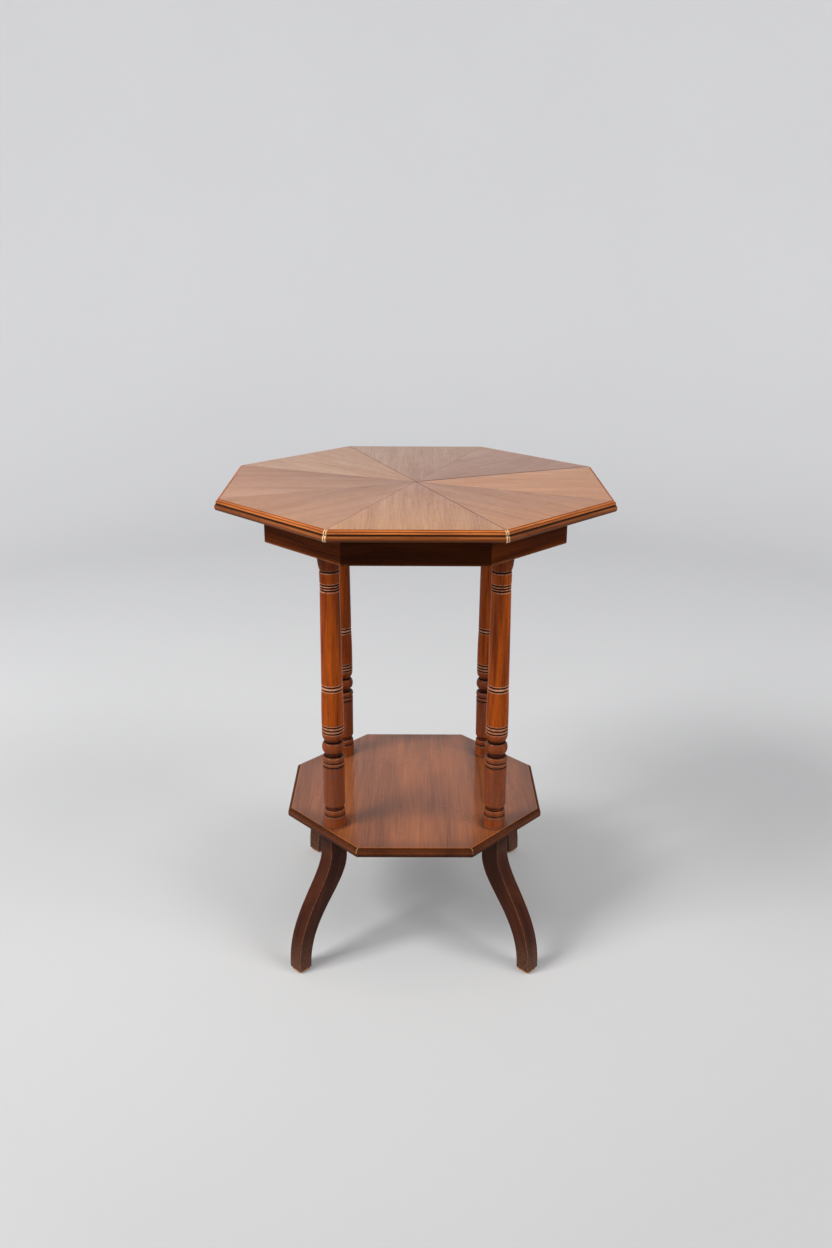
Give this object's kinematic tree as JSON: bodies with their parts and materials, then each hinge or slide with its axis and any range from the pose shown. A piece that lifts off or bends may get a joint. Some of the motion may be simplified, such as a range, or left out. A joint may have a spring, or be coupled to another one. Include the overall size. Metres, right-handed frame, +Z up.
{
  "type": "octagonal occasional table",
  "caption": "Octagonal occasional table: veneered top with a moulded edge on a plain frieze, turned legs, an undertier and outswept feet.",
  "frame": {"origin": "middle of the footprint on the floor", "axes": "+Z up, the front faces -Y, +X to the right seen from the front"},
  "size_m": [0.536, 0.536, 0.7],
  "materials": {
    "veneer": "faded mahogany veneer, radial grain, satin wax polish",
    "edge_moulding": "solid mahogany, old shellac polish, worn arrises",
    "ground_wood": "unpolished softwood ground, darkened with age",
    "frieze": "stained mahogany, shellac polish",
    "turned_leg": "turned mahogany, glossy shellac polish",
    "undertier": "solid mahogany, satin wax polish",
    "foot": "dark stained mahogany, satin polish, worn arrises",
    "inner_wood": "unpolished softwood, glue size and age stains",
    "screw_steel": "dull old steel",
    "foot_pad": "tan leather pad"
  },
  "bodies": {
    "root": {"top_ground_board": "ground_wood", "veneer_leaf_front": "veneer", "veneer_leaf_front_right": "veneer", "veneer_leaf_right": "veneer", "veneer_leaf_back_right": "veneer", "veneer_leaf_back": "veneer", "veneer_leaf_back_left": "veneer", "veneer_leaf_left": "veneer", "veneer_leaf_front_left": "veneer", "edge_moulding_front": "edge_moulding", "edge_moulding_front_right": "edge_moulding", "edge_moulding_right": "edge_moulding", "edge_moulding_back_right": "edge_moulding", "edge_moulding_back": "edge_moulding", "edge_moulding_back_left": "edge_moulding", "edge_moulding_left": "edge_moulding", "edge_moulding_front_left": "edge_moulding", "frieze_rail_front": "frieze", "frieze_rail_front_right": "frieze", "frieze_rail_right": "frieze", "frieze_rail_back_right": "frieze", "frieze_rail_back": "frieze", "frieze_rail_back_left": "frieze", "frieze_rail_left": "frieze", "frieze_rail_front_left": "frieze", "frieze_glue_blocks": "inner_wood", "top_fixing_screws": "screw_steel", "undertier": "undertier", "leg_block_front_right": "inner_wood", "leg_front_right": "turned_leg", "foot_front_right": "foot", "foot_pad_front_right": "foot_pad", "leg_block_back_right": "inner_wood", "leg_back_right": "turned_leg", "foot_back_right": "foot", "foot_pad_back_right": "foot_pad", "leg_block_back_left": "inner_wood", "leg_back_left": "turned_leg", "foot_back_left": "foot", "foot_pad_back_left": "foot_pad", "leg_block_front_left": "inner_wood", "leg_front_left": "turned_leg", "foot_front_left": "foot", "foot_pad_front_left": "foot_pad"}
  },
  "joints": []
}
